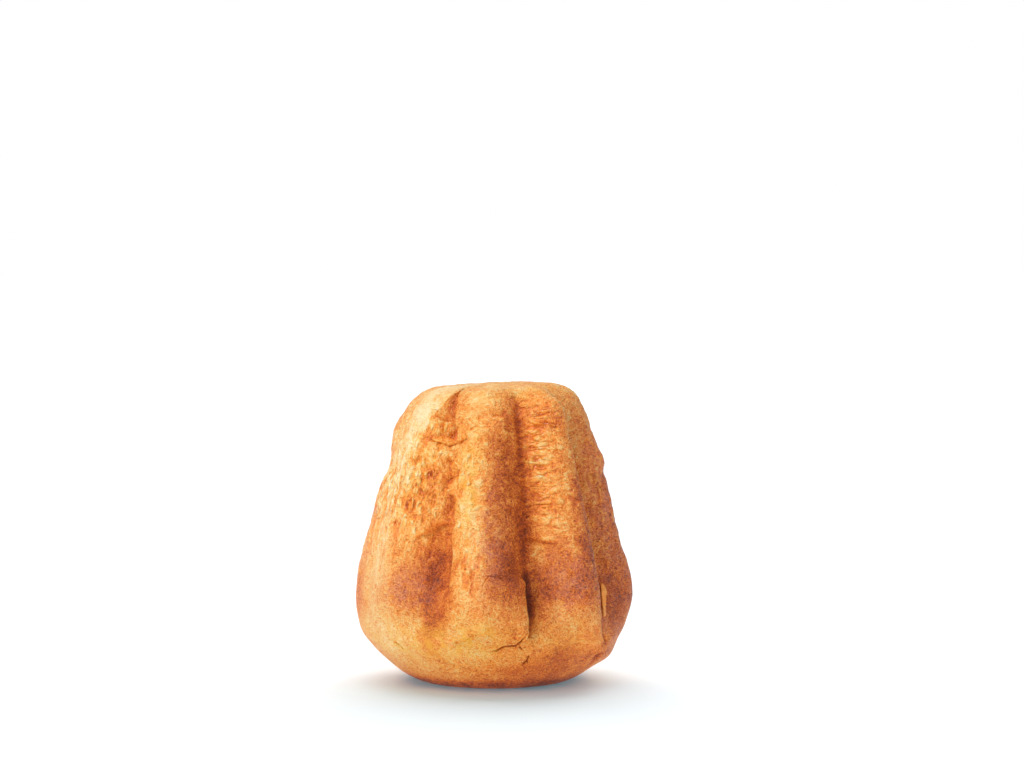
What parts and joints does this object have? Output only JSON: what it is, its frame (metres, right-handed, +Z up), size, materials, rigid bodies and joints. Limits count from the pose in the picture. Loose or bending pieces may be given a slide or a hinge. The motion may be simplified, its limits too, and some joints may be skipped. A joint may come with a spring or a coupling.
{
  "type": "mini pandoro",
  "caption": "Small star-shaped sweet yeast cake with deep grooves, standing on its risen dome with the narrow end of the star on top; browned, wrinkled and cracked crust.",
  "frame": {"origin": "on the floor under the middle of the cake's box, at the flat foot of the dome", "axes": "+Z up along the star's axis, -Y towards the side that the picture shows, +X to its right"},
  "size_m": [0.0918, 0.0928, 0.0982],
  "materials": {
    "crust": "golden baked crust, browned in patches, satin"
  },
  "bodies": {
    "root": {"pandoro": "crust"}
  },
  "joints": []
}
